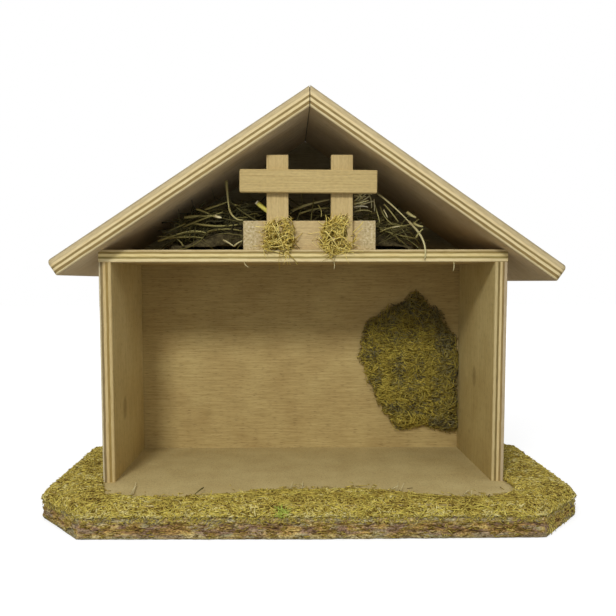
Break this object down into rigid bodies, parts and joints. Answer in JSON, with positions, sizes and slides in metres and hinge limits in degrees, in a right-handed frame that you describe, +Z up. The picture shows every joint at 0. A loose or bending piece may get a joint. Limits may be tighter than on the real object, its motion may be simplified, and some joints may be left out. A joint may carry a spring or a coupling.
{
  "type": "wooden nativity stable",
  "caption": "Plywood nativity stable with a pitched roof, a hay loft behind a slat fence, moss and a bark-edged base.",
  "frame": {"origin": "middle of the overall outline in plan, on the underside of the base board", "axes": "+X across the open front to the viewer's right, +Y from the open front to the back panel, +Z up to the ridge"},
  "size_m": [0.388, 0.159, 0.3072],
  "materials": {
    "wall_plywood": "sanded five-ply, untreated",
    "roof_plywood": "sanded seven-ply, untreated",
    "back_plywood": "thin sheet with level grain, untreated",
    "fibreboard": "raw pressed fibreboard",
    "slat_wood": "sawn softwood, untreated",
    "bark": "dry flaky bark",
    "moss": "dried moss",
    "hay": "dried grass",
    "brad_steel": "bright wire"
  },
  "bodies": {
    "root": {"left_wall": "wall_plywood", "right_wall": "wall_plywood", "loft_floor": "wall_plywood", "roof_left": "roof_plywood", "roof_right": "roof_plywood", "back_panel": "back_plywood", "base_board": "fibreboard", "fence_plank": "slat_wood", "fence_post_left": "slat_wood", "fence_post_right": "slat_wood", "fence_rail": "slat_wood", "bark_left": "bark", "bark_corner_left": "bark", "bark_front": "bark", "bark_corner_right": "bark", "bark_right": "bark", "moss_front": "moss", "moss_left": "moss", "moss_right": "moss", "moss_tuft_left": "moss", "moss_tuft_right": "moss", "moss_patch": "moss", "hay_heap": "hay", "hay_stalks": "hay", "base_brads": "brad_steel", "loft_brads": "brad_steel", "back_brads": "brad_steel", "roof_brads": "brad_steel", "ridge_brads": "brad_steel"}
  },
  "joints": []
}
